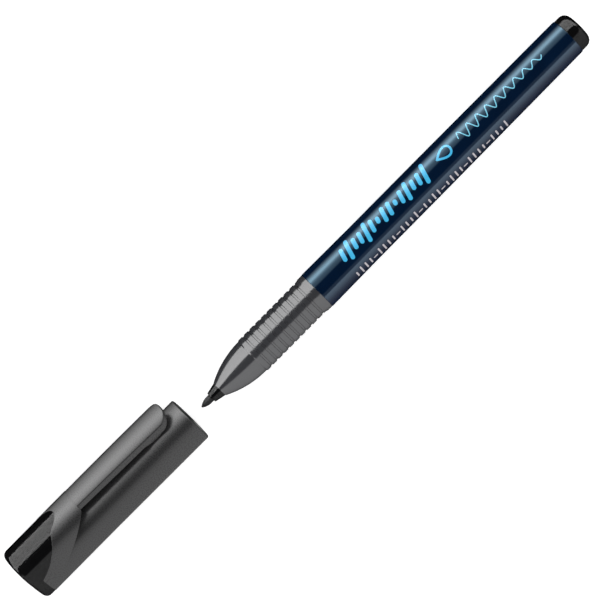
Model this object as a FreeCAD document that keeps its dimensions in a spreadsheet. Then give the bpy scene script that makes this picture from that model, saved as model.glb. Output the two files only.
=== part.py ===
import FreeCAD, Part
import math
import os

import Sketcher

# Felt tip marker: a fine fibre-tip pen, with its cap pulled off and lying in line with it.
# The pen's axis is X. The nib points along -X and the end plug along +X. The origin is on
# the axis, in the middle of the barrel's cylindrical land. +Z is up. Lengths are in mm.
# Every body is drawn from its own front or rear end, and its Placement sets it on the axis.

SIZES = [
    # Stations along the axis, each the origin of the bodies that start there.
    ("cap_end", -123.6, "closed end of the cap"),
    ("nib_tip", -66.1, "tip of the nib"),
    ("holder_front", -62.9, "front of the nib holder"),
    ("grip_front", -60.1, "front of the grip section"),
    ("reservoir_front", -42.0, "front of the ink reservoir"),
    ("barrel_front", -27.5, "front of the barrel"),
    ("barrel_rear", 56.5, "rear of the barrel and seat of the end plug"),
    # Barrel.
    ("barrel_front_r", 5.20, "outer radius at the front"),
    ("barrel_land_r", 5.06, "outer radius of the cylindrical land"),
    ("barrel_land_half", 9.4, "half the length of the land"),
    ("barrel_rear_r", 4.895, "outer radius at the rear"),
    ("barrel_bore_r", 4.30, "bore radius"),
    ("barrel_edge", 0.12, "rounding of the two outer edges"),
    ("rib_count", 6, "ribs in the bore, which centre the reservoir"),
    ("rib_width", 0.70, "width of a rib"),
    ("rib_crest_r", 3.53, "radius of the ribs' crests"),
    ("rib_margin", 9.0, "plain bore left at each end for the two spigots"),
    # End plug.
    ("plug_r", 4.735, "radius of the head"),
    ("plug_head", 3.5, "length of the head"),
    ("plug_edge", 1.9, "rounding of the head's edge"),
    ("plug_spigot_r", 4.27, "radius of the spigot"),
    ("plug_spigot", 6.0, "length of the spigot"),
    ("plug_core_r", 3.10, "radius of the blind core"),
    ("plug_wall", 1.6, "thickness left behind the core"),
    # Grip section.
    ("grip_mouth_r", 2.06, "radius at the front end"),
    ("nose_length", 10.9, "length of the ogive nose"),
    ("nose_end_r", 4.73, "radius where the nose ends"),
    ("nose_arc", 23.6, "radius of the ogive's arc"),
    ("rib_start", 11.2, "where the gripping ribs start"),
    ("grip_r", 4.93, "radius over the gripping ribs"),
    ("groove_first", 12.7, "centre of the first groove"),
    ("groove_pitch", 1.9, "distance between grooves"),
    ("groove_count", 10, "number of grooves"),
    ("groove_arc", 0.40, "radius of a groove's section"),
    ("groove_depth", 0.25, "depth of a groove"),
    ("collar_start", 31.2, "start of the collar that the cap fits on"),
    ("collar_ramp", 0.7, "length of the ramp up to the collar"),
    ("collar_r", 5.12, "radius of the collar"),
    ("grip_length", 32.6, "visible length"),
    ("grip_spigot_r", 4.27, "radius of the spigot in the barrel"),
    ("grip_spigot", 8.0, "length of the spigot"),
    ("grip_bore_r", 1.72, "bore that holds the nib holder"),
    ("grip_bore", 10.1, "length of that bore"),
    ("grip_pocket_r", 3.55, "radius of the pocket for the reservoir"),
    ("grip_pocket_start", 14.0, "where the pocket reaches its full radius"),
    # Nib holder.
    ("holder_tip_r", 1.38, "radius at the front"),
    ("holder_base_r", 1.97, "radius at the foot of the cone"),
    ("holder_bore_r", 0.97, "bore that grips the nib"),
    ("holder_spigot_r", 1.70, "radius of the spigot"),
    ("holder_spigot", 10.0, "length of the spigot"),
    ("holder_edge", 0.15, "rounding of the front edge"),
    # Nib.
    ("nib_r", 0.95, "radius of the nib rod"),
    ("nib_length", 30.0, "whole length"),
    ("nib_point", 2.4, "length of the bullet point"),
    ("nib_point_arc", 3.96, "radius of the bullet's side"),
    ("nib_flat_r", 0.14, "radius of the worn end of the point"),
    # Ink reservoir and its film.
    ("reservoir_r", 3.35, "radius of the fibre rod"),
    ("reservoir_length", 91.5, "length of the fibre rod"),
    ("socket_r", 0.96, "radius of the hole that takes the nib"),
    ("socket_depth", 6.2, "depth of that hole"),
    ("film_bore_r", 3.36, "inner radius of the film tube"),
    ("film_r", 3.48, "outer radius of the film tube"),
    ("film_lap", 0.6, "film short of the fibre rod at each end"),
    # Cap sleeve, from the closed end of the cap.
    ("clip_lean", 50.0, "degrees from +Z towards +Y at which the clip stands"),
    ("cap_length", 53.8, "whole length of the cap"),
    ("cap_rear_r", 5.83, "outer radius along the rear part"),
    ("cap_taper_start", 21.0, "where the sleeve starts to widen, and the clip's root"),
    ("cap_mouth_r", 6.05, "outer radius at the mouth"),
    ("mouth_land_r", 5.18, "bore of the land that fits the collar"),
    ("mouth_land", 2.5, "length of that land"),
    ("relief_front_r", 5.24, "bore just behind the land"),
    ("relief_rear_r", 5.10, "bore at the rear"),
    ("mouth_lip", 0.40, "rounding of the mouth's outer edge"),
    ("mouth_lead", 0.25, "rounding of the mouth's inner edge"),
    # Hump that carries the clip. Its section is the cap's circle drawn up to a crown.
    ("crown_r", 9.93, "height of the crown over the cap's axis"),
    ("crown_corner", 6.05, "radius of the two rounds that make the crown"),
    ("crown_half", 0.30, "half width of the arc between them"),
    ("hump_toe", 8.2, "where the hump's raked front starts"),
    ("hump_toe_h", -0.38, "height of that start over the axis"),
    ("hump_brow_h", 7.83, "height at which the raked front meets the clip's root"),
    # Seam between the sleeve and the end insert, seen from the side.
    ("seam_back", 2.9, "where the seam runs round the cap"),
    ("seam_low_h", 2.25, "height at which the seam turns forward"),
    ("seam_mid", 12.1, "where the seam meets the crown"),
    ("seam_mid_h", 8.77, "height there"),
    ("seam_sweep", 26.0, "radius of the seam's sweep up the flank"),
    ("seam_top", 17.1, "where the seam's line leaves above the crown"),
    ("seam_top_h", 10.2, "height there"),
    # End insert.
    ("insert_inset", 0.06, "how far the insert lies under the sleeve's surface"),
    ("insert_wall", 0.92, "sleeve's wall over the insert"),
    ("insert_slack", 0.03, "clearance of the insert in the sleeve"),
    ("insert_front", 17.6, "front face of the insert inside the sleeve"),
    ("hump_room", 12.0, "how far the room in the hump goes, short of the raked front"),
    ("insert_edge", 1.4, "rounding of the closed end"),
    ("cup_seat_r", 4.17, "bore that holds the seal cup"),
    ("cup_seat", 12.1, "bottom of that bore"),
    # Inner seal cup.
    ("cup_r", 4.15, "outer radius"),
    ("cup_length", 10.6, "whole length"),
    ("cup_bore_r", 2.80, "inner radius"),
    ("cup_floor", 0.8, "thickness of the bottom"),
    ("cup_lip", 0.25, "rounding of the lip"),
    # Pocket clip, seen from the side, in the cap's own frame.
    ("clip_gap", 0.15, "gap between the clip and the hump"),
    ("clip_root_r", 9.42, "outer radius at the root"),
    ("clip_tip_r", 9.04, "outer radius at the tip"),
    ("clip_tip", 51.0, "where the tip ends"),
    ("clip_thick", 1.07, "thickness of the arm"),
    ("clip_half_angle", 26.5, "half of the angle that the clip spans"),
    ("foot_start", 41.8, "where the foot leaves the arm"),
    ("foot_start_r", 8.02, "radius there"),
    ("foot_heel", 43.5, "start of the foot's rounded sole"),
    ("foot_heel_r", 7.05, "radius there"),
    ("foot_toe", 46.5, "end of the sole"),
    ("foot_toe_r", 6.88, "radius there"),
    ("foot_arc", 2.6, "radius of the sole"),
    ("tip_under_r", 8.72, "underside of the tip"),
    ("clip_tip_corner", 1.1, "rounding of the tip's corners, seen from above"),
    ("clip_edge", 0.30, "rounding of the arm's long outer edges"),
]

SHEET = "Sizes"
ALIASES = [alias for alias, value, note in SIZES]
CLEAR = 12.0  # mm, reaches past every outer surface of the cap

doc = FreeCAD.newDocument("felt_tip_marker")


def make_sheet():
    """Put every driving dimension in a spreadsheet cell with an alias."""
    sheet = doc.addObject("Spreadsheet::Sheet", SHEET)
    for row, (alias, value, note) in enumerate(SIZES, start=1):
        sheet.set(f"A{row}", alias)
        sheet.set(f"B{row}", str(value))
        sheet.setAlias(f"B{row}", alias)
        sheet.set(f"C{row}", note)
    doc.recompute()
    return sheet


sheet = make_sheet()


def bind(text):
    """Turn words such as 'cap_end + cap_length' into an expression on the sheet's cells."""
    words = [f"{SHEET}.{word}" if word in ALIASES else word for word in text.split()]
    return " ".join(words)


def size(text):
    """Return the present value of such an expression."""
    return float(sheet.evalExpression(bind(text)))


def origin_feature(body, role):
    """Return one of the body's own origin planes or axes."""
    return next(item for item in body.Origin.OriginFeatures if item.Role == role)


def new_body(node, station):
    """Start a sub-part whose own origin is at a station on the pen's axis."""
    body = doc.addObject("PartDesign::Body", node)
    body.Label = node
    body.setExpression("Placement.Base.x", bind(station))
    return body


def lean(body):
    """Turn a piece of the cap about the axis, so that its own +Z is the clip's direction."""
    body.Placement = FreeCAD.Placement(
        FreeCAD.Vector(size("cap_end"), 0, 0),
        FreeCAD.Rotation(FreeCAD.Vector(-1, 0, 0), size("clip_lean")),
    )
    body.setExpression("Placement.Rotation.Angle", bind("clip_lean"))


def new_sketch(body, name, role, lift="0"):
    """Attach a sketch to one of the body's own origin planes, lifted along its normal."""
    sketch = body.newObject("Sketcher::SketchObject", name)
    sketch.AttachmentSupport = [(origin_feature(body, role), "")]
    sketch.MapMode = "FlatFace"
    if lift != "0":
        sketch.setExpression("AttachmentOffset.Base.z", bind(lift))
    return sketch


def constrain(sketch, kind, *where, text=None, name=None):
    """Add a constraint, and bind its value to the sheet when it has one."""
    if text is None:
        return sketch.addConstraint(Sketcher.Constraint(kind, *where))
    index = sketch.addConstraint(Sketcher.Constraint(kind, *where, size(text)))
    sketch.renameConstraint(index, name)
    sketch.setExpression(f"Constraints.{name}", bind(text))
    return index


def arc_between(start, end, radius, side):
    """Return an arc from start to end that bulges to the left (side 1) or right (side -1)."""
    chord = end - start
    rise = radius - math.sqrt(radius ** 2 - (chord.Length / 2) ** 2)
    normal = FreeCAD.Vector(-chord.y, chord.x, 0).normalize()
    return Part.Arc(start, (start + end) * 0.5 + normal * rise * side, end)


def draw_outline(sketch, corners):
    """Draw a closed outline through corners and fix every corner by the sheet.

    A corner is (across, up). With a radius and a side after them, the edge from that corner
    to the next one is an arc.
    """
    points = [FreeCAD.Vector(size(corner[0]), size(corner[1]), 0) for corner in corners]
    ends = []
    for index, corner in enumerate(corners):
        start = points[index]
        end = points[(index + 1) % len(points)]
        if len(corner) == 2:
            edge = sketch.addGeometry(Part.LineSegment(start, end), False)
        else:
            edge = sketch.addGeometry(arc_between(start, end, size(corner[2]), corner[3]), False)
        first = 1 if (sketch.getPoint(edge, 1) - start).Length < 1e-6 else 2
        ends.append((edge, first, 3 - first))
    for index, (edge, first, last) in enumerate(ends):
        after_edge, after_first, after_last = ends[(index + 1) % len(ends)]
        constrain(sketch, "Coincident", edge, last, after_edge, after_first)
    for index, corner in enumerate(corners):
        edge, first, last = ends[index]
        for kind, axis, text in (("DistanceX", -2, corner[0]), ("DistanceY", -1, corner[1])):
            if text == "0":
                constrain(sketch, "PointOnObject", edge, first, axis)
            else:
                constrain(sketch, kind, -1, 1, edge, first, text=text, name=f"{kind}_{index}")
        if len(corner) == 4:
            constrain(sketch, "Radius", edge, text=corner[2], name=f"Radius_{index}")


def turn(body, name, corners, kind="PartDesign::Revolution"):
    """Turn an outline of (along the axis, radius) corners about the body's X axis."""
    sketch = new_sketch(body, f"{name}_outline", "XZ_Plane")
    draw_outline(sketch, corners)
    feature = body.newObject(kind, name)
    feature.Profile = sketch
    feature.ReferenceAxis = (sketch, ["H_Axis"])
    feature.Angle = 360
    doc.recompute()
    return feature


def cut_across(body, name, corners):
    """Cut an outline of (along the axis, height) corners right across the body."""
    before = body.Shape.Volume
    sketch = new_sketch(body, f"{name}_outline", "XZ_Plane")
    draw_outline(sketch, corners)
    pocket = body.newObject("PartDesign::Pocket", name)
    pocket.Profile = sketch
    pocket.Type = "Length"
    pocket.Midplane = True
    pocket.Length = 2 * CLEAR
    doc.recompute()
    check_cut(body, name, before)
    return pocket


def check_cut(body, name, before):
    """Stop if a cut has taken nothing away."""
    if body.Shape.Volume > before - 1e-3:
        raise RuntimeError(f"{name} cuts nothing from {body.Label}")


def round_edges(body, name, chosen, radius):
    """Round the edges of the body's last feature that chosen(edge) picks."""
    base = body.Tip
    names = [f"Edge{i}" for i, edge in enumerate(base.Shape.Edges, start=1) if chosen(edge)]
    if not names:
        raise RuntimeError(f"{name} finds no edge on {body.Label}")
    fillet = body.newObject("PartDesign::Fillet", name)
    fillet.Base = (base, names)
    fillet.setExpression("Radius", bind(radius))
    doc.recompute()
    return fillet


def ring_at(along, radius):
    """Return a test for a circular edge about the axis at one place and radius."""
    def test(edge):
        box = edge.BoundBox
        flat = abs(box.XMin - size(along)) < 0.01 and abs(box.XMax - size(along)) < 0.01
        return flat and abs(box.ZMax - size(radius)) < 0.01
    return test


def make_barrel():
    """Long thin tube, widest at the grip end, with a cylindrical land half way along."""
    body = new_body("barrel", "barrel_front")
    turn(body, "barrel_tube", [
        ("0", "barrel_bore_r"),
        ("0", "barrel_front_r"),
        ("- barrel_front - barrel_land_half", "barrel_land_r"),
        ("barrel_land_half - barrel_front", "barrel_land_r"),
        ("barrel_rear - barrel_front", "barrel_rear_r"),
        ("barrel_rear - barrel_front", "barrel_bore_r"),
    ])
    round_edges(body, "barrel_front_edge", ring_at("0", "barrel_front_r"), "barrel_edge")
    rear_ring = ring_at("barrel_rear - barrel_front", "barrel_rear_r")
    round_edges(body, "barrel_rear_edge", rear_ring, "barrel_edge")
    before = body.Shape.Volume
    sketch = new_sketch(body, "centring_rib_outline", "YZ_Plane", "rib_margin")
    draw_outline(sketch, [
        ("- rib_width / 2", "rib_crest_r"),
        ("rib_width / 2", "rib_crest_r"),
        ("rib_width / 2", "barrel_bore_r + 0.05"),
        ("- rib_width / 2", "barrel_bore_r + 0.05"),
    ])
    rib = body.newObject("PartDesign::Pad", "centring_rib")
    rib.Profile = sketch
    rib.setExpression("Length", bind("barrel_rear - barrel_front - 2 * rib_margin"))
    doc.recompute()
    one_rib = body.Shape.Volume - before
    pattern = body.newObject("PartDesign::PolarPattern", "centring_ribs")
    pattern.Originals = [rib]
    pattern.Axis = (sketch, ["N_Axis"])
    pattern.Angle = 360
    pattern.setExpression("Occurrences", bind("rib_count"))
    body.Tip = pattern
    doc.recompute()
    all_ribs = body.Shape.Volume - before
    if abs(all_ribs - size("rib_count") * one_rib) > 0.01 * all_ribs:
        raise RuntimeError("the centring ribs are not all there")
    return body


def make_end_plug():
    """Black plug: a rounded head with a flat end, and a hollow spigot inside the barrel."""
    body = new_body("end_plug", "barrel_rear")
    turn(body, "plug_turned", [
        ("- plug_spigot", "plug_core_r"),
        ("- plug_spigot", "plug_spigot_r"),
        ("0", "plug_spigot_r"),
        ("0", "plug_r"),
        ("plug_head - plug_edge", "plug_r", "plug_edge", 1),
        ("plug_head", "plug_r - plug_edge"),
        ("plug_head", "0"),
        ("plug_head - plug_wall", "0"),
        ("plug_head - plug_wall", "plug_core_r"),
    ])
    return body


def make_grip_section():
    """Ogive nose, ten grip grooves, a collar for the cap, and a spigot for the barrel."""
    body = new_body("grip_section", "grip_front")
    turn(body, "grip_turned", [
        ("0", "grip_bore_r"),
        ("0", "grip_mouth_r", "nose_arc", 1),
        ("nose_length", "nose_end_r"),
        ("rib_start", "grip_r"),
        ("collar_start - collar_ramp", "grip_r"),
        ("collar_start", "collar_r"),
        ("grip_length", "collar_r"),
        ("grip_length", "grip_spigot_r"),
        ("grip_length + grip_spigot", "grip_spigot_r"),
        ("grip_length + grip_spigot", "grip_pocket_r"),
        ("grip_pocket_start", "grip_pocket_r"),
        ("grip_bore", "grip_bore_r"),
    ])
    before = body.Shape.Volume
    sketch = new_sketch(body, "groove_outline", "XZ_Plane")
    centre = FreeCAD.Vector(size("groove_first"), size("grip_r + groove_arc - groove_depth"), 0)
    circle = sketch.addGeometry(
        Part.Circle(centre, FreeCAD.Vector(0, 0, 1), size("groove_arc")), False
    )
    constrain(sketch, "Radius", circle, text="groove_arc", name="Section")
    constrain(sketch, "DistanceX", -1, 1, circle, 3, text="groove_first", name="Along")
    centre_height = "grip_r + groove_arc - groove_depth"
    constrain(sketch, "DistanceY", -1, 1, circle, 3, text=centre_height, name="Height")
    groove = body.newObject("PartDesign::Groove", "grip_groove")
    groove.Profile = sketch
    groove.ReferenceAxis = (sketch, ["H_Axis"])
    groove.Angle = 360
    doc.recompute()
    check_cut(body, "grip_groove", before)
    pattern = body.newObject("PartDesign::LinearPattern", "grip_grooves")
    pattern.Originals = [groove]
    pattern.Direction = (sketch, ["H_Axis"])
    pattern.setExpression("Length", bind("groove_pitch * ( groove_count - 1 )"))
    pattern.setExpression("Occurrences", bind("groove_count"))
    one_groove = body.Shape.Volume
    body.Tip = pattern
    doc.recompute()
    check_cut(body, "grip_grooves", one_groove)
    return body


def make_nib_holder():
    """Black cone with a long spigot, which grips the nib in the nose."""
    body = new_body("nib_holder", "holder_front")
    turn(body, "holder_turned", [
        ("0", "holder_bore_r"),
        ("0", "holder_tip_r - holder_edge", "holder_edge", 1),
        ("holder_edge", "holder_tip_r"),
        ("grip_front - holder_front", "holder_base_r"),
        ("grip_front - holder_front", "holder_spigot_r"),
        ("grip_front - holder_front + holder_spigot", "holder_spigot_r"),
        ("grip_front - holder_front + holder_spigot", "holder_bore_r"),
    ])
    return body


def make_nib():
    """Fibre rod with a bullet point."""
    body = new_body("nib", "nib_tip")
    turn(body, "nib_turned", [
        ("0", "0"),
        ("0", "nib_flat_r", "nib_point_arc", 1),
        ("nib_point", "nib_r"),
        ("nib_length", "nib_r"),
        ("nib_length", "0"),
    ])
    return body


def make_ink_reservoir():
    """Fibre cartridge with a hole in its front end for the nib."""
    body = new_body("ink_reservoir", "reservoir_front")
    turn(body, "reservoir_turned", [
        ("0", "socket_r"),
        ("0", "reservoir_r"),
        ("reservoir_length", "reservoir_r"),
        ("reservoir_length", "0"),
        ("socket_depth", "0"),
        ("socket_depth", "socket_r"),
    ])
    return body


def make_reservoir_film():
    """Thin tube around the fibre cartridge, a little shorter than it at both ends."""
    outer = doc.addObject("Part::Cylinder", "film_outside")
    outer.setExpression("Radius", bind("film_r"))
    inner = doc.addObject("Part::Cylinder", "film_inside")
    inner.setExpression("Radius", bind("film_bore_r"))
    for cylinder in (outer, inner):
        cylinder.setExpression("Height", bind("reservoir_length - 2 * film_lap"))
    tube = doc.addObject("Part::Cut", "reservoir_film")
    tube.Label = "reservoir_film"
    tube.Base = outer
    tube.Tool = inner
    along_x = FreeCAD.Rotation(FreeCAD.Vector(0, 1, 0), 90)
    tube.Placement = FreeCAD.Placement(FreeCAD.Vector(0, 0, 0), along_x)
    tube.setExpression("Placement.Base.x", bind("reservoir_front + film_lap"))
    doc.recompute()
    return tube


def draw_hump(sketch, inset):
    """Draw the hump's section: the cap's circle, two straight flanks and a rounded crown.

    The flanks touch both the circle and the crown's corner rounds. inset moves the whole
    outline inwards.
    """
    base = size(f"cap_rear_r - {inset}")
    crown = size(f"crown_r - {inset}")
    corner = size(f"crown_corner - {inset}")
    crown_angle = math.asin(size("crown_half") / size("crown_r"))
    flank_angle = crown_angle + math.acos((base - corner) / (crown - corner))
    out = FreeCAD.Vector(0, 0, 1)
    middle = FreeCAD.Vector(0, 0, 0)
    up = math.pi / 2

    def polar(radius, angle, centre=middle):
        return centre + FreeCAD.Vector(radius * math.sin(angle), radius * math.cos(angle), 0)

    def arc(centre, radius, start, end):
        circle = Part.Circle(centre, out, radius)
        return sketch.addGeometry(Part.ArcOfCircle(circle, start, end), False)

    def flank(side):
        low = polar(base, side * flank_angle)
        high = polar(corner, side * flank_angle, polar(crown - corner, side * crown_angle))
        ends = (low, high) if side > 0 else (high, low)
        return sketch.addGeometry(Part.LineSegment(*ends), False)

    round_base = arc(middle, base, up + flank_angle, up - flank_angle + 2 * math.pi)
    near_flank = flank(1)
    near_centre = polar(crown - corner, crown_angle)
    near_corner = arc(near_centre, corner, up - flank_angle, up - crown_angle)
    top = arc(middle, crown, up - crown_angle, up + crown_angle)
    far_centre = polar(crown - corner, -crown_angle)
    far_corner = arc(far_centre, corner, up + crown_angle, up + flank_angle)
    far_flank = flank(-1)
    ring = [round_base, near_flank, near_corner, top, far_corner, far_flank]
    for edge, following in zip(ring, ring[1:] + ring[:1]):
        constrain(sketch, "Tangent", edge, 2, following, 1)
    constrain(sketch, "Coincident", round_base, 3, -1, 1)
    constrain(sketch, "Coincident", top, 3, -1, 1)
    constrain(sketch, "Equal", near_corner, far_corner)
    constrain(sketch, "Horizontal", top, 1, top, 2)
    constrain(sketch, "Radius", round_base, text=f"cap_rear_r - {inset}", name="Base")
    constrain(sketch, "Radius", top, text=f"crown_r - {inset}", name="Crown")
    constrain(sketch, "Radius", near_corner, text=f"crown_corner - {inset}", name="Corner")
    half = f"crown_half * ( crown_r - {inset} ) / crown_r"
    constrain(sketch, "DistanceX", -1, 1, top, 1, text=half, name="Half_crown")


def hump_pad(body, name, inset, length, start="0"):
    """Extend the hump's section along the axis."""
    sketch = new_sketch(body, f"{name}_section", "YZ_Plane", start)
    draw_hump(sketch, inset)
    pad = body.newObject("PartDesign::Pad", name)
    pad.Profile = sketch
    pad.setExpression("Length", bind(length))
    doc.recompute()
    return pad


def make_cap_sleeve():
    """Grey outer shell of the cap with the hump that the clip grows out of."""
    body = new_body("cap_sleeve", "cap_end")
    lean(body)
    hump_pad(body, "hump", "0", "cap_taper_start")
    cut_across(body, "raked_front", [
        ("hump_toe", "hump_toe_h"),
        ("cap_taper_start", "hump_brow_h"),
        (f"cap_taper_start + {CLEAR}", "hump_brow_h"),
        (f"cap_taper_start + {CLEAR}", f"- {CLEAR}"),
        ("hump_toe", f"- {CLEAR}"),
    ])
    turn(body, "sleeve_outside", [
        ("0", "0"),
        ("0", "cap_rear_r"),
        ("cap_taper_start", "cap_rear_r"),
        ("cap_length", "cap_mouth_r"),
        ("cap_length", "0"),
    ])
    before = body.Shape.Volume
    turn(body, "sleeve_bore", [
        ("0", "0"),
        ("0", "cap_rear_r - insert_wall"),
        ("insert_front", "cap_rear_r - insert_wall"),
        ("insert_front", "relief_rear_r"),
        ("cap_length - mouth_land - 0.5", "relief_front_r"),
        ("cap_length - mouth_land", "mouth_land_r"),
        ("cap_length + 1", "mouth_land_r"),
        ("cap_length + 1", "0"),
    ], "PartDesign::Groove")
    check_cut(body, "sleeve_bore", before)
    before = body.Shape.Volume
    sketch = new_sketch(body, "insert_room_section", "YZ_Plane")
    draw_hump(sketch, "insert_wall")
    room = body.newObject("PartDesign::Pocket", "insert_room")
    room.Profile = sketch
    room.Type = "Length"
    room.Reversed = True
    room.setExpression("Length", bind("hump_room"))
    doc.recompute()
    check_cut(body, "insert_room", before)
    cut_across(body, "seam_cut", seam_outline(-1))
    round_edges(body, "mouth_lip_round", ring_at("cap_length", "cap_mouth_r"), "mouth_lip")
    round_edges(body, "mouth_lead_round", ring_at("cap_length", "mouth_land_r"), "mouth_lead")
    return body


def seam_outline(side):
    """Return the region behind the seam (side -1) or in front of it (side 1)."""
    far = f"- {CLEAR}" if side < 0 else "cap_length"
    line = [
        ("seam_back", f"- {CLEAR}"),
        ("seam_back", "seam_low_h", "seam_sweep", -1),
        ("seam_mid", "seam_mid_h"),
        ("seam_top", "seam_top_h"),
        ("seam_top", f"{CLEAR}"),
    ]
    return line + [(far, f"{CLEAR}"), (far, f"- {CLEAR}")]


def make_cap_end_insert():
    """Black end of the cap, with a plug that fills the sleeve and holds the seal cup."""
    body = new_body("cap_end_insert", "cap_end")
    lean(body)
    hump_pad(body, "end_block", "insert_inset", "insert_front")
    cut_across(body, "seam_face", seam_outline(1))

    def at_closed_end(edge):
        return edge.BoundBox.XMax < 0.01

    round_edges(body, "closed_end_round", at_closed_end, "insert_edge")
    inset = "( insert_wall + insert_slack )"
    hump_pad(body, "hump_plug", inset, "hump_room - insert_slack - seam_back", "seam_back")
    turn(body, "round_plug", [
        ("seam_back", "0"),
        ("seam_back", f"cap_rear_r - {inset}"),
        ("insert_front", f"cap_rear_r - {inset}"),
        ("insert_front", "0"),
    ])
    before = body.Shape.Volume
    turn(body, "cup_bore", [
        ("cup_seat", "0"),
        ("cup_seat", "cup_seat_r"),
        ("insert_front + 1", "cup_seat_r"),
        ("insert_front + 1", "0"),
    ], "PartDesign::Groove")
    check_cut(body, "cup_bore", before)
    return body


def make_inner_seal_cup():
    """Soft cup that closes over the nib when the cap is on."""
    body = new_body("inner_seal_cup", "cap_end + cup_seat")
    turn(body, "cup_turned", [
        ("0", "0"),
        ("0", "cup_r"),
        ("cup_length", "cup_r"),
        ("cup_length", "cup_bore_r"),
        ("cup_floor", "cup_bore_r"),
        ("cup_floor", "0"),
    ])

    def at_lip(edge):
        return edge.BoundBox.XMin > size("cup_length") - 0.01

    round_edges(body, "cup_lip_round", at_lip, "cup_lip")
    return body


def make_pocket_clip():
    """Curved arm along the cap, an arc about the cap's axis, with a foot near its tip."""
    body = new_body("pocket_clip", "cap_end")
    lean(body)
    clip = turn(body, "clip_arm", [
        ("cap_taper_start + clip_gap", "clip_root_r - clip_thick"),
        ("cap_taper_start + clip_gap", "clip_root_r"),
        ("clip_tip", "clip_tip_r"),
        ("clip_tip", "tip_under_r"),
        ("foot_toe", "foot_toe_r", "foot_arc", 1),
        ("foot_heel", "foot_heel_r"),
        ("foot_start", "foot_start_r"),
    ])
    clip.Midplane = True
    clip.setExpression("Angle", bind("2 * clip_half_angle"))
    doc.recompute()

    def at_tip_side(edge):
        box = edge.BoundBox
        return box.XMin > size("clip_tip") - 0.01 and box.YLength < 0.5

    round_edges(body, "tip_corner_round", at_tip_side, "clip_tip_corner")

    def long_outer(edge):
        box = edge.BoundBox
        return box.XLength > 20 and box.ZMin > size("clip_tip_r * cos( clip_half_angle )") - 0.05

    round_edges(body, "long_edge_round", long_outer, "clip_edge")
    return body


def check_and_export(pieces):
    """Stop at any failed object or bad shape, then write one STEP file for each piece."""
    doc.recompute()
    for item in doc.Objects:
        if "Invalid" in item.State or "Error" in item.State:
            raise RuntimeError(f"{item.Label} did not recompute: {item.State}")
    os.makedirs("parts", exist_ok=True)
    for piece in pieces:
        if piece.Shape.isNull() or not piece.Shape.isValid():
            raise RuntimeError(f"{piece.Label} has no valid shape")
    for piece in pieces:
        piece.Shape.exportStep(f"parts/{piece.Label}.step")
        box = piece.Shape.BoundBox
        print(
            f"{piece.Label}: {len(piece.Shape.Solids)} solid, {piece.Shape.Volume:.1f} mm3,"
            f" x {box.XMin:.2f} to {box.XMax:.2f}, z {box.ZMin:.2f} to {box.ZMax:.2f}"
        )


check_and_export([
    make_barrel(),
    make_end_plug(),
    make_grip_section(),
    make_nib_holder(),
    make_nib(),
    make_ink_reservoir(),
    make_reservoir_film(),
    make_cap_sleeve(),
    make_cap_end_insert(),
    make_inner_seal_cup(),
    make_pocket_clip(),
])
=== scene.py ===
import math

import bmesh
import bpy
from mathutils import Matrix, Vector


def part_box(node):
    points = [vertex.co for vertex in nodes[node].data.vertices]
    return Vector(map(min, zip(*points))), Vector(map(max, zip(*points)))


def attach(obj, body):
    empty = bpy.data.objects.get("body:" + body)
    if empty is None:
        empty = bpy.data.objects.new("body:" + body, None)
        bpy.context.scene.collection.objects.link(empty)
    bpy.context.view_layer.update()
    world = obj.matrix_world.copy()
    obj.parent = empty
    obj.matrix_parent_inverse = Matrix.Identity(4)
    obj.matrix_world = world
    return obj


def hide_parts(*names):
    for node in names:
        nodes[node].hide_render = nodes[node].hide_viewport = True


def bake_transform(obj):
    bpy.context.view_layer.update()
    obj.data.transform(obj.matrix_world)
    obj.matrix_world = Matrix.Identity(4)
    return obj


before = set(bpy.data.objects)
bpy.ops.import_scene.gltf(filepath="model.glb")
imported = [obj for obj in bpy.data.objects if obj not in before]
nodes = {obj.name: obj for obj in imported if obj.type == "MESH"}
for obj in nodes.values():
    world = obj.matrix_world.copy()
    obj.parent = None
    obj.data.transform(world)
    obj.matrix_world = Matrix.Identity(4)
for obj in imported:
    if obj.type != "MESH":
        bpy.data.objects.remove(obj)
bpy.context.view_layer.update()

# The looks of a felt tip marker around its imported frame. The pen's axis is X, the nib points
# along -X, and the cap lies in line with the pen. Outlines are in millimetres, the meshes in
# metres. The clip stands CLIP_LEAN degrees from +Z towards +Y.

MM = 0.001
CLIP_LEAN = 50.0

# Where each CAD node starts and ends along the axis, in millimetres.
FRONT = {name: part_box(name)[0].x / MM for name in nodes}
REAR = {name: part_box(name)[1].x / MM for name in nodes}


# ---------------------------------------------------------------- camera, floor and light

VIEW_TARGET = Vector((-31.9, 1.3, 0.0)) * MM
VIEW_WIDTH = 141.2 * MM
VIEW_TURN = -45.34
LENS = 200.0
SENSOR = 36.0
CLIP_END = 20.0


def make_camera():
    """Look straight down on the marker, which lies across the picture."""
    data = bpy.data.cameras.new("camera")
    data.lens = LENS
    data.sensor_width = SENSOR
    data.clip_end = CLIP_END
    camera = bpy.data.objects.new("camera", data)
    camera.location = VIEW_TARGET + Vector((0.0, 0.0, VIEW_WIDTH * LENS / SENSOR))
    camera.rotation_euler = (0.0, 0.0, math.radians(VIEW_TURN))
    bpy.context.scene.collection.objects.link(camera)
    bpy.context.scene.camera = camera


def add_object(name, mesh):
    """Put a mesh in the scene."""
    piece = bpy.data.objects.new(name, mesh)
    bpy.context.scene.collection.objects.link(piece)
    return piece


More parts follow.
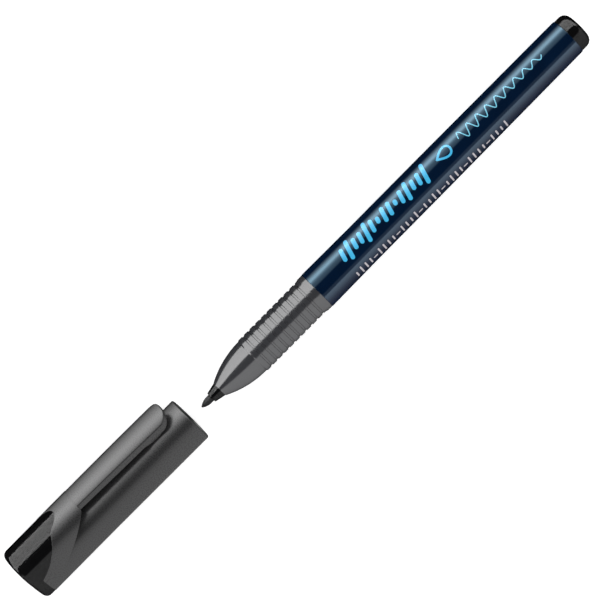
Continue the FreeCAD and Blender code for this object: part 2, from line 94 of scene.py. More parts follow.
# The floor reaches FLOOR_HALF metres each way. The softboxes are LIGHT_RADIUS metres from the axis,
# LIGHT_GAP metres between layers, and have an edge every LIGHT_STEP degrees.
FLOOR_HALF = 4.0
FLOOR_PALE = (0.94, 0.94, 0.94, 1.0)
FLOOR_GLOW = 0.45
AMBIENT = 1.08
LIGHT_RADIUS = 0.32
LIGHT_GAP = 0.01
LIGHT_FROM = -3.0
LIGHT_TO = 3.0
LIGHT_STEP = 3.0


def make_floor():
    """Plain pale floor that the marker lies on. It glows a little, so it comes out white."""
    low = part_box("cap_sleeve")[0].z
    mesh = bpy.data.meshes.new("floor")
    corners = [(-1, -1), (1, -1), (1, 1), (-1, 1)]
    spots = [(x * FLOOR_HALF, y * FLOOR_HALF, low) for x, y in corners]
    mesh.from_pydata(spots, [], [(0, 1, 2, 3)])
    floor = add_object("floor", mesh)
    material = bpy.data.materials.new("floor_pale")
    material.use_nodes = True
    shader = material.node_tree.nodes["Principled BSDF"]
    shader.inputs["Base Color"].default_value = FLOOR_PALE
    shader.inputs["Roughness"].default_value = 1.0
    shader.inputs["Specular IOR Level"].default_value = 0.0
    shader.inputs["Emission Color"].default_value = (1.0, 1.0, 1.0, 1.0)
    shader.inputs["Emission Strength"].default_value = FLOOR_GLOW
    mesh.materials.append(material)
    floor.visible_glossy = False


def make_ambient():
    """Even white light from all round, which the gloss does not mirror."""
    world = bpy.data.worlds.new("studio")
    world.use_nodes = True
    background = world.node_tree.nodes["Background"]
    background.inputs["Color"].default_value = (1.0, 1.0, 1.0, 1.0)
    background.inputs["Strength"].default_value = AMBIENT
    bpy.context.scene.world = world
    world.cycles_visibility.glossy = False


def softbox(name, brightness, receivers, layer, colour=(1.0, 1.0, 1.0)):
    """Long bowed light about the marker's axis, seen only in the gloss of its receivers.

    brightness lists (degrees from +Z towards +Y, radiance) along the bow. Lights for
    different pieces lie in layers, so that none coincides with another.
    """
    mesh = bpy.data.meshes.new(name)
    steps = round(abs(brightness[-1][0] - brightness[0][0]) / LIGHT_STEP)
    bow = LIGHT_RADIUS + layer * LIGHT_GAP
    spots = []
    glows = []
    for k in range(steps + 1):
        angle = brightness[0][0] + (brightness[-1][0] - brightness[0][0]) * k / steps
        glow = between(brightness, angle)
        across = bow * math.sin(math.radians(angle))
        up = bow * math.cos(math.radians(angle))
        for along in (LIGHT_FROM, LIGHT_TO):
            spots.append((along, across, up))
            glows.append(glow)
    faces = [(2 * k, 2 * k + 1, 2 * k + 3, 2 * k + 2) for k in range(steps)]
    mesh.from_pydata(spots, [], faces)
    glow_layer = mesh.attributes.new("glow", "FLOAT", "POINT")
    glow_layer.data.foreach_set("value", glows)
    material = bpy.data.materials.new(name)
    material.use_nodes = True
    tree = material.node_tree
    tree.nodes.remove(tree.nodes["Principled BSDF"])
    emission = tree.nodes.new("ShaderNodeEmission")
    source = tree.nodes.new("ShaderNodeAttribute")
    source.attribute_name = "glow"
    tree.links.new(source.outputs["Fac"], emission.inputs["Strength"])
    emission.inputs["Color"].default_value = (*colour, 1.0)
    passing = tree.nodes.new("ShaderNodeBsdfTransparent")
    both = tree.nodes.new("ShaderNodeAddShader")
    tree.links.new(emission.outputs["Emission"], both.inputs[0])
    tree.links.new(passing.outputs["BSDF"], both.inputs[1])
    tree.links.new(both.outputs["Shader"], tree.nodes["Material Output"].inputs["Surface"])
    mesh.materials.append(material)
    light = add_object(name, mesh)
    light.visible_camera = False
    light.visible_diffuse = False
    light.visible_shadow = False
    lit = bpy.data.collections.new(f"{name}_receivers")
    for receiver in receivers:
        lit.objects.link(receiver)
    light.light_linking.receiver_collection = lit


# Brightness of the softboxes as (degrees from +Z towards +Y, radiance). The key lights are
# on the +Y side and the fill lights on the -Y side.
GRIP_KEY = [(23.5, 6.9), (60.0, 6.4), (94.0, 5.2)]
GRIP_FILL = [
    (-24.0, 2.1),
    (-60.0, 2.1),
    (-90.0, 1.7),
    (-113.0, 1.15),
    (-133.0, 0.5),
    (-150.0, 0.15),
    (-180.0, 0.0),
]
BLACK_KEY = [(26.0, 6.6), (60.0, 5.8), (95.0, 5.2)]
BLACK_FILL = [
    (-26.0, 1.4),
    (-60.0, 1.3),
    (-90.0, 1.0),
    (-113.0, 0.5),
    (-133.0, 0.18),
    (-150.0, 0.05),
    (-180.0, 0.0),
]
CAP_KEY = [
    (2.0, 0.0),
    (11.0, 0.5),
    (20.0, 1.5),
    (31.0, 3.2),
    (43.0, 5.2),
    (56.0, 6.6),
    (69.0, 6.2),
    (85.0, 4.2),
    (100.0, 2.5),
    (120.0, 1.0),
    (140.0, 0.3),
]
CAP_FILL = [
    (-19.0, 0.0),
    (-27.0, 0.7),
    (-37.0, 1.1),
    (-57.0, 1.35),
    (-90.0, 1.15),
    (-126.0, 0.6),
    (-150.0, 0.25),
    (-180.0, 0.05),
]
BARREL_KEY = [
    (17.0, 0.0),
    (23.0, 1.3),
    (39.0, 2.3),
    (49.0, 4.8),
    (57.0, 10.4),
    (65.0, 10.4),
    (72.0, 7.2),
    (84.0, 2.6),
    (94.0, 0.5),
    (100.0, 0.0),
]
BARREL_FILL_COLOUR = (1.16, 0.96, 0.94)
BARREL_FILL = [
    (-36.0, 0.5),
    (-51.0, 0.6),
    (-54.0, 3.2),
    (-71.0, 2.3),
    (-84.0, 1.4),
    (-97.0, 0.7),
    (-113.0, 0.3),
    (-133.0, 0.05),
    (-180.0, 0.0),
]


def between(table, place):
    """Read a value from a list of (place, value), in a straight line between the two nearest."""
    ordered = sorted(table)
    for (low, low_value), (high, high_value) in zip(ordered, ordered[1:]):
        if place <= high:
            share = (place - low) / (high - low)
            return low_value + (high_value - low_value) * share
    return ordered[-1][1]


# ---------------------------------------------------------------- materials

def start_material(name):
    """Return a new material's node tree, its shader and coordinates in millimetres."""
    material = bpy.data.materials.new(name)
    material.use_nodes = True
    tree = material.node_tree
    shader = tree.nodes["Principled BSDF"]
    place = tree.nodes.new("ShaderNodeTexCoord")
    scale = tree.nodes.new("ShaderNodeMapping")
    scale.inputs["Scale"].default_value = (1 / MM, 1 / MM, 1 / MM)
    tree.links.new(place.outputs["Object"], scale.inputs["Vector"])
    return material, tree, shader, scale.outputs["Vector"]


def noise(tree, where, size, detail=3.0, stretch=(1.0, 1.0, 1.0)):
    """Noise whose features are about size millimetres, stretched along the axes."""
    spread = tree.nodes.new("ShaderNodeMapping")
    spread.inputs["Scale"].default_value = [1.0 / (size * s) for s in stretch]
    texture = tree.nodes.new("ShaderNodeTexNoise")
    texture.inputs["Scale"].default_value = 1.0
    texture.inputs["Detail"].default_value = detail
    tree.links.new(where, spread.inputs["Vector"])
    tree.links.new(spread.outputs["Vector"], texture.inputs["Vector"])
    return texture.outputs["Fac"]


def tones(tree, source, dark, light):
    """Run between two colours by a grey value."""
    ramp = tree.nodes.new("ShaderNodeValToRGB")
    ramp.color_ramp.elements[0].position = 0.3
    ramp.color_ramp.elements[1].position = 0.7
    ramp.color_ramp.elements[0].color = (*dark, 1.0)
    ramp.color_ramp.elements[1].color = (*light, 1.0)
    tree.links.new(source, ramp.inputs["Fac"])
    return ramp.outputs["Color"]


def spread(tree, source, low, high):
    """Turn a grey value of 0.3 to 0.7 into low to high."""
    mapped = tree.nodes.new("ShaderNodeMapRange")
    mapped.inputs["From Min"].default_value = 0.3
    mapped.inputs["From Max"].default_value = 0.7
    mapped.inputs["To Min"].default_value = low
    mapped.inputs["To Max"].default_value = high
    tree.links.new(source, mapped.inputs["Value"])
    return mapped.outputs["Result"]


def relief(tree, source, depth, strength, under=None):
    """Bump from a grey value, depth in millimetres, over another bump if there is one."""
    bump = tree.nodes.new("ShaderNodeBump")
    bump.inputs["Strength"].default_value = strength
    bump.inputs["Distance"].default_value = depth * MM
    tree.links.new(source, bump.inputs["Height"])
    if under is not None:
        tree.links.new(under, bump.inputs["Normal"])
    return bump.outputs["Normal"]


BEVEL_SAMPLES = 8


def moulded(
    name, colour, rough, ior_level, grain, variation=0.08, tint=(1.0, 1.0, 1.0), edge=0.0
):
    """Moulded plastic. rough is (lowest, highest); grain is (size, depth) of its texture, in mm.

    edge is how far sharp edges are rounded in the shading, in mm, so that they catch the light.
    """
    material, tree, shader, where = start_material(name)
    cloud = noise(tree, where, 6.0, 4.0)
    speck = noise(tree, where, grain[0], 2.0)
    patches = noise(tree, where, 0.30, 3.0)
    dark = [c * (1 - variation) for c in colour]
    light = [c * (1 + variation) for c in colour]
    tree.links.new(tones(tree, cloud, dark, light), shader.inputs["Base Color"])
    tree.links.new(spread(tree, patches, rough[0], rough[1]), shader.inputs["Roughness"])
    softened = None
    if edge > 0:
        worn = tree.nodes.new("ShaderNodeBevel")
        worn.samples = BEVEL_SAMPLES
        worn.inputs["Radius"].default_value = edge * MM
        softened = worn.outputs["Normal"]
    fine = relief(tree, speck, grain[1], 1.0, softened)
    tree.links.new(fine, shader.inputs["Normal"])
    shader.inputs["Specular IOR Level"].default_value = ior_level
    shader.inputs["Specular Tint"].default_value = (*tint, 1.0)
    return material


NAVY = (0.0012, 0.0075, 0.0250)
GRIP_GREY = (0.034, 0.035, 0.039)
CAP_GREY = (0.0215, 0.0215, 0.0220)
BLACK = (0.0035, 0.0035, 0.0038)
CYAN = (0.030, 0.44, 0.76)
PALE_CYAN = (0.15, 0.55, 0.74)
PRINT_GREY = (0.44, 0.42, 0.45)


def fibre(name, colour, size, stretch):
    """Bonded fibres that run along the axis."""
    material, tree, shader, where = start_material(name)
    strands = noise(tree, where, size, 4.0, (stretch, 1.0, 1.0))
    lumps = noise(tree, where, 1.2, 3.0)
    dark = [c * 0.55 for c in colour]
    light = [c * 1.5 for c in colour]
    tree.links.new(tones(tree, strands, dark, light), shader.inputs["Base Color"])
    tree.links.new(spread(tree, lumps, 0.42, 0.70), shader.inputs["Roughness"])
    tree.links.new(relief(tree, strands, 0.05, 0.8), shader.inputs["Normal"])
    shader.inputs["Specular IOR Level"].default_value = 0.22
    return material


def clear_film(name):
    """Thin clear film around the fibre cartridge."""
    material, tree, shader, where = start_material(name)
    ripple = noise(tree, where, 2.5, 2.0, (4.0, 1.0, 1.0))
    tree.links.new(tones(tree, ripple, (0.55, 0.56, 0.58), (0.66, 0.67, 0.70)), shader.inputs["Base Color"])
    tree.links.new(spread(tree, ripple, 0.10, 0.22), shader.inputs["Roughness"])
    tree.links.new(relief(tree, ripple, 0.02, 0.5), shader.inputs["Normal"])
    shader.inputs["Transmission Weight"].default_value = 0.6
    return material


def printed(name, colour):
    """Screen-printed ink: even, with faint pinholes and a slightly duller surface."""
    material, tree, shader, where = start_material(name)
    pinholes = noise(tree, where, 0.12, 2.0)
    light = [min(1.0, c * 1.06) for c in colour]
    dark = [c * 0.90 for c in colour]
    tree.links.new(tones(tree, pinholes, dark, light), shader.inputs["Base Color"])
    tree.links.new(spread(tree, pinholes, 0.24, 0.34), shader.inputs["Roughness"])
    tree.links.new(relief(tree, pinholes, 0.01, 0.3), shader.inputs["Normal"])
    return material


def set_material(piece, material):
    """Give a piece one material all over."""
    slots = piece.data.materials
    if len(slots) == 0:
        slots.append(material)
    for index in range(len(slots)):
        slots[index] = material


# ---------------------------------------------------------------- turned pieces

TURN_STEPS = 144
ROUND_STEPS = 6
SHARP = math.radians(32.0)


def rounded(corners):
    """Return an outline's points, with a tangent arc at each corner (x, r, rounding)."""
    points = []
    count = len(corners)
    for index, corner in enumerate(corners):
        here = Vector(corner[:2])
        if len(corner) == 2:
            points.append(here)
            continue
        back = (Vector(corners[index - 1][:2]) - here).normalized()
        on = (Vector(corners[(index + 1) % count][:2]) - here).normalized()
        half = back.angle(on) / 2
        radius = corner[2]
        centre = here + (back + on).normalized() * radius / math.sin(half)
        first = here + back * radius / math.tan(half) - centre
        last = here + on * radius / math.tan(half) - centre
        sweep = math.pi - 2 * half
        for k in range(ROUND_STEPS + 1):
            a = math.sin(sweep * (1 - k / ROUND_STEPS)) / math.sin(sweep)
            b = math.sin(sweep * k / ROUND_STEPS) / math.sin(sweep)
            points.append(centre + first * a + last * b)
    return points


def bowed(start, end, radius, steps):
    """Return points inside an arc from start to end that bulges away from the axis."""
    start, end = Vector(start), Vector(end)
    chord = end - start
    normal = Vector((-chord.y, chord.x)).normalized()
    middle = (start + end) / 2
    depth = math.sqrt(radius ** 2 - (chord.length / 2) ** 2)
    centre = middle - normal * depth
    first = start - centre
    last = end - centre
    sweep = first.angle(last)
    points = []
    for k in range(1, steps):
        a = math.sin(sweep * (1 - k / steps)) / math.sin(sweep)
        b = math.sin(sweep * k / steps) / math.sin(sweep)
        points.append(tuple(centre + first * a + last * b))
    return points


def lathe(name, points, bore_ribs=None):
    """Turn a closed outline of (x, r) points about the X axis.

    bore_ribs(x, r, share of a turn) may change a point's radius.
    """
    bm = bmesh.new()
    rings = []
    for x, r in points:
        if r < 1e-6:
            rings.append([bm.verts.new((x * MM, 0.0, 0.0))])
            continue
        ring = []
        for k in range(TURN_STEPS):
            turn = 2 * math.pi * k / TURN_STEPS
            radius = bore_ribs(x, r, k / TURN_STEPS) if bore_ribs else r
            spot = (x * MM, radius * math.sin(turn) * MM, radius * math.cos(turn) * MM)
            ring.append(bm.verts.new(spot))
        rings.append(ring)
    for ring, following in zip(rings, rings[1:] + rings[:1]):
        join_rings(bm, ring, following)
    bmesh.ops.recalc_face_normals(bm, faces=bm.faces)
    return finish_mesh(name, bm)


def join_rings(bm, ring, following):
    """Make the faces between two rings, either of which may be a point on the axis."""
    if len(ring) == 1 and len(following) == 1:
        return
    for k in range(TURN_STEPS):
        after = (k + 1) % TURN_STEPS
        if len(ring) == 1:
            bm.faces.new((ring[0], following[after], following[k]))
        elif len(following) == 1:
            bm.faces.new((ring[k], ring[after], following[0]))
        else:
            bm.faces.new((ring[k], ring[after], following[after], following[k]))


def finish_mesh(name, bm, sharp=SHARP):
    """Turn a bmesh into a smooth-shaded object with crisp edges."""
    mesh = bpy.data.meshes.new(name)
    bm.to_mesh(mesh)
    bm.free()
    mesh.shade_smooth()
    mesh.set_sharp_from_angle(angle=sharp)
    return add_object(name, mesh)


def stand_for(piece, node, body, material):
    """Let a finished piece stand for a CAD node."""
    set_material(piece, material)
    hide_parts(node)
    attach(piece, body)
    return piece


BARREL_EDGE = 0.12
BARREL_FRONT_R = 5.20
BARREL_LAND_R = 5.06
BARREL_LAND_HALF = 9.4
BARREL_REAR_R = 4.895
SWELL_EASE = 1.3
SWELL_STEPS = 8
BARREL_BORE_R = 4.30
RIB_COUNT = 6
RIB_CREST_R = 3.53
RIB_SHARE = 0.012
RIB_MARGIN = 9.0


def make_barrel():
    """Gloss tube, widest at the grip, with centring ribs in its bore."""
    front = FRONT["barrel"]
    rear = REAR["barrel"]
    swell = [(front, BARREL_FRONT_R, BARREL_EDGE)]
    for k in range(1, SWELL_STEPS):
        x = front + (-BARREL_LAND_HALF - front) * k / SWELL_STEPS
        share = (1 - k / SWELL_STEPS) ** SWELL_EASE
        swell.append((x, BARREL_LAND_R + (BARREL_FRONT_R - BARREL_LAND_R) * share))
    swell += [(-BARREL_LAND_HALF, BARREL_LAND_R), (BARREL_LAND_HALF, BARREL_LAND_R)]
    swell.append((rear, BARREL_REAR_R, BARREL_EDGE))
    ribs_from = front + RIB_MARGIN
    ribs_to = rear - RIB_MARGIN
    bore = [
        (rear, BARREL_BORE_R),
        (ribs_to, BARREL_BORE_R),
        (ribs_to - 0.01, BARREL_BORE_R),
        (ribs_from + 0.01, BARREL_BORE_R),
        (ribs_from, BARREL_BORE_R),
        (front, BARREL_BORE_R),
    ]

    def ribbed(x, r, share):
        near_rib = abs((share * RIB_COUNT + 0.5) % 1.0 - 0.5) / RIB_COUNT < RIB_SHARE
        in_bore = r < BARREL_BORE_R + 0.01 and ribs_from < x < ribs_to
        return RIB_CREST_R if near_rib and in_bore else r

    return lathe("barrel_tube", rounded(swell + bore), ribbed)


PLUG_R = 4.735
PLUG_EDGE = 1.9
PLUG_SPIGOT_R = 4.27
PLUG_CORE_R = 3.10
PLUG_WALL = 1.6


def make_end_plug():
    """Black plug with a well-rounded head."""
    spigot_end = FRONT["end_plug"]
    seat = REAR["barrel"]
    end = REAR["end_plug"]
    corners = [
        (spigot_end, PLUG_CORE_R),
        (spigot_end, PLUG_SPIGOT_R, 0.25),
        (seat, PLUG_SPIGOT_R),
        (seat, PLUG_R, 0.08),
        (end, PLUG_R, PLUG_EDGE),
        (end, 0.0),
        (end - PLUG_WALL, 0.0),
        (end - PLUG_WALL, PLUG_CORE_R, 0.4),
    ]
    return lathe("end_plug_head", rounded(corners))


GRIP_MOUTH_R = 2.06
NOSE_LENGTH = 10.9
NOSE_END_R = 4.73
NOSE_ARC = 23.6
GRIP_R = 4.93
GROOVE_FIRST = 12.7
GROOVE_PITCH = 1.9
GROOVE_COUNT = 10
GROOVE_HALF = 0.34
GROOVE_FLOOR = 0.24
GROOVE_DEPTH = 0.20
COLLAR_START = 31.2
COLLAR_R = 5.12
GRIP_SPIGOT_R = 4.27
GRIP_BORE_R = 1.72
GRIP_BORE = 10.1
GRIP_POCKET_R = 3.55
GRIP_POCKET_START = 14.0


def make_grip_section():
    """Ogive nose, gripping ribs between crisp grooves, and the collar for the cap."""
    front = FRONT["grip_section"]
    rear = REAR["grip_section"]
    seat = FRONT["barrel"]
    mouth = (front, GRIP_MOUTH_R)
    nose_end = (front + NOSE_LENGTH, NOSE_END_R)
    corners = [(front, GRIP_BORE_R), mouth] + bowed(mouth, nose_end, NOSE_ARC, 24)
    corners += [nose_end, (front + NOSE_LENGTH + 0.3, GRIP_R, 0.12)]
    for k in range(GROOVE_COUNT):
        middle = front + GROOVE_FIRST + GROOVE_PITCH * k
        floor = GRIP_R - GROOVE_DEPTH
        corners += [
            (middle - GROOVE_HALF, GRIP_R, 0.05),
            (middle - GROOVE_FLOOR, floor, 0.06),
            (middle + GROOVE_FLOOR, floor, 0.06),
            (middle + GROOVE_HALF, GRIP_R, 0.05),
        ]
    corners += [
        (front + COLLAR_START - 0.7, GRIP_R, 0.2),
        (front + COLLAR_START, COLLAR_R, 0.2),
        (seat, COLLAR_R, 0.06),
        (seat, GRIP_SPIGOT_R),
        (rear, GRIP_SPIGOT_R, 0.2),
        (rear, GRIP_POCKET_R),
        (front + GRIP_POCKET_START, GRIP_POCKET_R),
        (front + GRIP_BORE, GRIP_BORE_R),
    ]
    return lathe("grip_section_front", rounded(corners))


HOLDER_TIP_R = 1.38
HOLDER_BASE_R = 1.97
HOLDER_BORE_R = 0.97
HOLDER_SPIGOT_R = 1.70


def make_nib_holder():
    """Black cone that grips the nib."""
    front = FRONT["nib_holder"]
    rear = REAR["nib_holder"]
    seat = FRONT["grip_section"]
    corners = [
        (front, HOLDER_BORE_R),
        (front, HOLDER_TIP_R, 0.16),
        (seat, HOLDER_BASE_R),
        (seat, HOLDER_SPIGOT_R),
        (rear, HOLDER_SPIGOT_R, 0.2),
        (rear, HOLDER_BORE_R),
    ]
    return lathe("nib_holder_cone", rounded(corners))


NIB_R = 0.95
NIB_POINT = 2.4
NIB_POINT_ARC = 3.96
NIB_FLAT_R = 0.14


def make_nib():
    """Bullet-pointed fibre rod."""
    front = FRONT["nib"]
    rear = REAR["nib"]
    tip = (front, NIB_FLAT_R)
    shoulder = (front + NIB_POINT, NIB_R)
    corners = [(front, 0.0), tip] + bowed(tip, shoulder, NIB_POINT_ARC, 16)
    corners += [shoulder, (rear, NIB_R, 0.1), (rear, 0.0)]
    return lathe("nib_rod", rounded(corners))


# ---------------------------------------------------------------- pocket clip

# The clip is drawn by its place along the cap from the closed end, the distance across from
# its middle, and the height over the cap's axis, all in millimetres. FOOT lists the inner
# face's distance from the axis at places along the clip.
CAP_REAR = -123.6
ROOT = 21.0
TIP = 51.0
CROWN_TOP = 9.93
CROWN_ROUND = 6.05
TIP_FALL = 0.34
CLIP_ROOT_HALF = 3.62
CLIP_HALF = 3.98
CLIP_FLARE = 0.20
SIDE_ANGLE = 30.5
BURIED = 1.6
BURIED_FALL = 0.25
TONGUE = 3.1
TIP_ROUND = 0.45
FOOT = [
    (ROOT, 8.45),
    (41.8, 8.12),
    (43.5, 7.05),
    (44.3, 6.78),
    (45.1, 6.69),
    (45.9, 6.74),
    (46.5, 6.88),
    (51.0, 8.42),
]


def clip_top(along):
    """Height of the clip's crest over the cap's axis, falling gently to a rounded tip."""
    if along <= ROOT:
        return CROWN_TOP - BURIED_FALL * (ROOT - along)
    share = (along - ROOT) / (TIP - ROOT)
    late = min(TIP_ROUND, max(0.0, along - (TIP - TIP_ROUND)))
    rounding = TIP_ROUND - math.sqrt(TIP_ROUND ** 2 - late ** 2)
    return CROWN_TOP - TIP_FALL * share ** 2 - rounding


def clip_outside(along, across):
    """Height of the outer face: the round of the hump's crown carried along the arm."""
    return clip_top(along) - CROWN_ROUND + math.sqrt(CROWN_ROUND ** 2 - across ** 2)


def clip_inside(along, across):
    """Height of the inner face, bowed about the cap's axis, with the foot."""
    return math.sqrt(between(FOOT, along) ** 2 - across ** 2)


def clip_half(along):
    """Half of the clip's width at its outer edges, which grows up to the tongue-shaped tip."""
    share = min(1.0, max(0.0, (along - ROOT) / (TIP - ROOT)))
    late = max(0.0, along - (TIP - TONGUE)) / (TONGUE * 1.02)
    full = CLIP_ROOT_HALF + (CLIP_HALF - CLIP_ROOT_HALF) * share
    return full * math.sqrt(1 - late ** 2)


def clip_stations():
    """Places along the clip, close together at the foot and the tip."""
    places = [ROOT - BURIED, ROOT - 0.8, ROOT, ROOT + 0.5, ROOT + 1.2]
    places += [ROOT + 2 + 1.0 * k for k in range(19)]
    places += [41.0, 41.4, 41.8, 42.1] + [42.5 + 0.25 * k for k in range(19)]
    places += [47.2 + 0.25 * k for k in range(9)]
    places += [TIP - 1.6, TIP - 1.3, TIP - 1.0, TIP - 0.7, TIP - 0.45, TIP - 0.3, TIP - 0.2]
    places += [TIP - 0.12, TIP - 0.06, TIP - 0.02, TIP]
    return sorted(set(round(p, 3) for p in places))


CLIP_EDGE = 0.22
EDGE_SHARES = (0.0, 0.08, 0.3, 0.62, 1.0)
ARC_STEPS = 18


def clip_section(along):
    """Outline of the clip across its length, as (across, height), with rounded outer edges."""
    half = clip_half(along)
    side = between(FOOT, along) * math.sin(math.radians(SIDE_ANGLE))
    foot = min(CLIP_HALF + CLIP_FLARE, side) * half / CLIP_HALF
    bevel = min(CLIP_EDGE, 0.4 * (clip_outside(along, half) - clip_inside(along, foot)))
    edge = []
    for share in EDGE_SHARES:
        sink = bevel * (1 - math.sqrt(1 - (1 - share) ** 2))
        across = half - bevel * share
        edge.append((across, clip_outside(along, across) - sink))
    flat = half - bevel
    middle = []
    for k in range(1, ARC_STEPS):
        across = flat * (1 - 2 * k / ARC_STEPS)
        middle.append((across, clip_outside(along, across)))
    outer = edge + middle + [(-across, height) for across, height in reversed(edge)]
    inner = []
    for k in range(ARC_STEPS + 1):
        across = foot * (2 * k / ARC_STEPS - 1)
        inner.append((across, clip_inside(along, across)))
    return outer + inner


def make_pocket_clip():
    """Springy arm that grows out of the hump, with a foot under its tip."""
    bm = bmesh.new()
    rings = []
    for along in clip_stations():
        rings.append([bm.verts.new(on_clip(along, a, h)) for a, h in clip_section(along)])
    for ring, following in zip(rings, rings[1:]):
        count = len(ring)
        for k in range(count):
            after = (k + 1) % count
            bm.faces.new((ring[k], ring[after], following[after], following[k]))
    bm.faces.new(rings[0])
    bm.faces.new(rings[-1])
    bmesh.ops.recalc_face_normals(bm, faces=bm.faces)
    return finish_mesh("pocket_clip_arm", bm, math.radians(38.0))


def on_clip(along, across, height):
    """A point at a place along the cap, across the clip and a height over the cap's axis."""
    lean = math.radians(CLIP_LEAN)
    y = height * math.sin(lean) + across * math.cos(lean)
    z = height * math.cos(lean) - across * math.sin(lean)
    return ((CAP_REAR + along) * MM, y * MM, z * MM)


# ---------------------------------------------------------------- print on the barrel

# Generic marks stand where the real marker is printed: bars, a drop, a wave and dashes.

INK_PROUD = 0.02
INK_SUNK = 0.03


def barrel_radius(x):
    """Radius of the barrel's surface at a place along it, in millimetres."""
    if x < -BARREL_LAND_HALF:
        front = FRONT["barrel"]
        share = (-BARREL_LAND_HALF - x) / (-BARREL_LAND_HALF - front)
        return BARREL_LAND_R + (BARREL_FRONT_R - BARREL_LAND_R) * share ** SWELL_EASE
    if x < BARREL_LAND_HALF:
        return BARREL_LAND_R
    share = (x - BARREL_LAND_HALF) / (REAR["barrel"] - BARREL_LAND_HALF)
    return BARREL_LAND_R + (BARREL_REAR_R - BARREL_LAND_R) * share


def on_barrel(x, around, lift):
    """A point on the print: around is millimetres along the surface from the top towards +Y."""
    radius = barrel_radius(x) + lift
    turn = around / BARREL_LAND_R
    return (x * MM, radius * math.sin(turn) * MM, radius * math.cos(turn) * MM)


def stroke(bm, line, width):
    """Lay a printed line of one width along (x, around) points, with rounded ends."""
    points = [Vector(p) for p in line]
    lefts, rights = [], []
    half = width / 2
    cap_steps = 4
    start = (points[1] - points[0]).normalized()
    end = (points[-1] - points[-2]).normalized()
    for k in range(cap_steps):
        angle = math.pi / 2 * (1 - k / cap_steps)
        centre = points[0] - start * half * math.sin(angle)
        side = Vector((-start.y, start.x)) * half * max(0.12, math.cos(angle))
        lefts.append(centre + side)
        rights.append(centre - side)
    for k, point in enumerate(points):
        before = points[max(0, k - 1)]
        after = points[min(len(points) - 1, k + 1)]
        along = (after - before).normalized()
        side = Vector((-along.y, along.x)) * half
        lefts.append(point + side)
        rights.append(point - side)
    for k in range(1, cap_steps + 1):
        angle = math.pi / 2 * k / cap_steps
        centre = points[-1] + end * half * math.sin(angle)
        side = Vector((-end.y, end.x)) * half * max(0.12, math.cos(angle))
        lefts.append(centre + side)
        rights.append(centre - side)
    rows = []
    for left, right in zip(lefts, rights):
        row = []
        spots = [left, left.lerp(right, 1 / 3), left.lerp(right, 2 / 3), right]
        for spot in spots:
            row.append(bm.verts.new(on_barrel(spot.x, spot.y, INK_PROUD)))
        for spot in reversed(spots):
            row.append(bm.verts.new(on_barrel(spot.x, spot.y, -INK_SUNK)))
        rows.append(row)
    for row, following in zip(rows, rows[1:]):
        count = len(row)
        for k in range(count):
            after = (k + 1) % count
            bm.faces.new((row[k], row[after], following[after], following[k]))
    bm.faces.new(rows[0])
    bm.faces.new(rows[-1])


def line_between(start, end, step=0.35):
    """Points from start to end, close enough together to follow the barrel."""
    start, end = Vector(start), Vector(end)
    count = max(2, math.ceil((end - start).length / step))
    return [tuple(start.lerp(end, k / count)) for k in range(count + 1)]


def finish_print(name, bm, material):
    """Turn the strokes into one piece that rides on the pen."""
    bmesh.ops.recalc_face_normals(bm, faces=bm.faces)
    piece = finish_mesh(name, bm)
    set_material(piece, material)
    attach(piece, "pen")
    return piece


PRINT_MIDDLE = 1.55
BARS_FROM = -17.4
BARS_TO = 9.6
BAR_COUNT = 15
BAR_WIDTH = 1.05
BAR_LEAN = 0.30
BAR_HEIGHT = 1.15


def print_bold_bars(material):
    """Bold slanted bars whose heights rise and fall."""
    bm = bmesh.new()
    for k in range(BAR_COUNT):
        x = BARS_FROM + (BARS_TO - BARS_FROM) * k / (BAR_COUNT - 1)
        height = BAR_HEIGHT + 0.75 * math.sin(1.9 * k) + 0.25 * math.sin(0.6 * k)
        low = (x - BAR_LEAN * height, PRINT_MIDDLE - height)
        high = (x + BAR_LEAN * height, PRINT_MIDDLE + height)
        stroke(bm, line_between(low, high), BAR_WIDTH)
    return finish_print("print_bold_bars", bm, material)


DROP_PLACE = 16.0
DROP_HALF = 2.1
DROP_SLIM = 0.85
DROP_LINE = 0.55
DROP_STEPS = 48


def print_drop(material):
    """Plain outline of a drop between the bold and the fine print."""
    bm = bmesh.new()
    line = []
    for k in range(DROP_STEPS + 1):
        turn = 2 * math.pi * k / DROP_STEPS
        sharpen = math.sin(turn / 2) ** 1.2
        x = DROP_PLACE - DROP_HALF * math.cos(turn)
        around = PRINT_MIDDLE + DROP_SLIM * DROP_HALF * math.sin(turn) * sharpen
        line.append((x, around))
    stroke(bm, line, DROP_LINE)
    return finish_print("print_drop", bm, material)


WAVE_FROM = 21.0
WAVE_TO = 48.5
WAVE_COUNT = 9.0
WAVE_HEIGHT = 1.45
WAVE_CALM = 0.55
WAVE_LINE = 0.26
WAVE_STEPS = 240


def print_fine_wave(material):
    """Fine line sample: a wave that grows calmer towards the end of the barrel."""
    bm = bmesh.new()
    line = []
    for k in range(WAVE_STEPS + 1):
        share = k / WAVE_STEPS
        x = WAVE_FROM + (WAVE_TO - WAVE_FROM) * share
        height = WAVE_HEIGHT * (1 - WAVE_CALM * share)
        line.append((x, PRINT_MIDDLE + height * math.sin(2 * math.pi * (WAVE_COUNT * share))))
    stroke(bm, line, WAVE_LINE)
    return finish_print("print_fine_wave", bm, material)


TICKS_FROM = -18.0
TICKS_TO = 31.5
TICKS_MIDDLE = -4.75
TICK_COUNT = 34
TICK_LINE = 0.42
TICK_REACH = 0.65
DASH_REACH = 0.45
DASH_LINE = 0.38


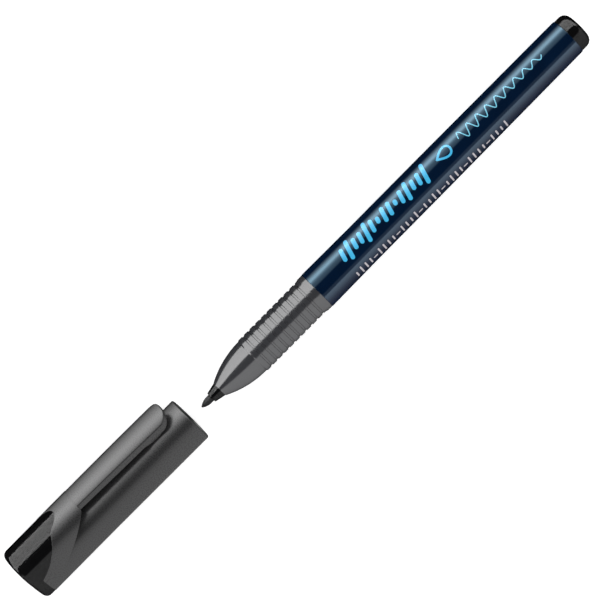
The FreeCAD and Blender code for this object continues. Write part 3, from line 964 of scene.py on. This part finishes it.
def print_side_dashes(material):
    """Row of small grey ticks low on the side, with a dash at every fifth place."""
    bm = bmesh.new()
    for k in range(TICK_COUNT):
        x = TICKS_FROM + (TICKS_TO - TICKS_FROM) * k / (TICK_COUNT - 1)
        if k % 5 == 4:
            start = (x - DASH_REACH, TICKS_MIDDLE)
            end = (x + DASH_REACH, TICKS_MIDDLE)
            stroke(bm, line_between(start, end), DASH_LINE)
        else:
            reach = TICK_REACH + 0.45 * ((k * 3) % 4) / 3
            start = (x, TICKS_MIDDLE - reach)
            end = (x, TICKS_MIDDLE + reach)
            stroke(bm, line_between(start, end), TICK_LINE)
    return finish_print("print_side_dashes", bm, material)


# ---------------------------------------------------------------- putting it together

make_camera()
make_floor()
make_ambient()
bpy.context.scene.view_settings.view_transform = "Standard"

navy = moulded("navy_gloss", NAVY, (0.07, 0.12), 0.5, (0.9, 0.0008), 0.10, (0.47, 0.79, 1.0))
grip_grey = moulded("grip_satin", GRIP_GREY, (0.13, 0.19), 0.62, (0.5, 0.0010), 0.05)
cap_grey = moulded("cap_spark_eroded", CAP_GREY, (0.25, 0.31), 0.5, (0.16, 0.0045), 0.06, edge=0.12)
gloss_black = moulded("gloss_black", BLACK, (0.09, 0.14), 0.20, (0.8, 0.0008), 0.15)
nib_fibre = fibre("nib_inked_fibre", (0.011, 0.011, 0.012), 0.09, 8.0)
wick_fibre = fibre("reservoir_inked_fibre", (0.05, 0.05, 0.055), 0.14, 30.0)
film = clear_film("clear_film")
seal = moulded("natural_seal", (0.62, 0.62, 0.59), (0.34, 0.46), 0.5, (0.4, 0.0020), 0.03)
cyan_ink = printed("cyan_print", CYAN)
pale_ink = printed("pale_cyan_print", PALE_CYAN)
grey_ink = printed("grey_print", PRINT_GREY)

barrel = stand_for(make_barrel(), "barrel", "pen", navy)
plug = stand_for(make_end_plug(), "end_plug", "pen", gloss_black)
grip = stand_for(make_grip_section(), "grip_section", "pen", grip_grey)
holder = stand_for(make_nib_holder(), "nib_holder", "pen", gloss_black)
nib = stand_for(make_nib(), "nib", "pen", nib_fibre)

clip = make_pocket_clip()
set_material(clip, cap_grey)
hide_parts("pocket_clip")
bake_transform(clip)

set_material(nodes["cap_sleeve"], cap_grey)
set_material(nodes["cap_end_insert"], gloss_black)
set_material(nodes["inner_seal_cup"], seal)
set_material(nodes["ink_reservoir"], wick_fibre)
set_material(nodes["reservoir_film"], film)

prints = [
    print_bold_bars(cyan_ink),
    print_drop(cyan_ink),
    print_fine_wave(pale_ink),
    print_side_dashes(grey_ink),
]

barrel_group = [barrel] + prints
black_group = [plug, holder, nib, nodes["cap_end_insert"]]
cap_group = [clip, nodes["cap_sleeve"], nodes["inner_seal_cup"]]
softbox("grip_key_light", GRIP_KEY, [grip], 0)
softbox("grip_fill_light", GRIP_FILL, [grip], 0)
softbox("cap_key_light", CAP_KEY, cap_group, 1)
softbox("cap_fill_light", CAP_FILL, cap_group, 1)
softbox("barrel_key_light", BARREL_KEY, barrel_group, 2)
softbox("barrel_fill_light", BARREL_FILL, barrel_group, 2, BARREL_FILL_COLOUR)
softbox("black_key_light", BLACK_KEY, black_group, 3)
softbox("black_fill_light", BLACK_FILL, black_group, 3)
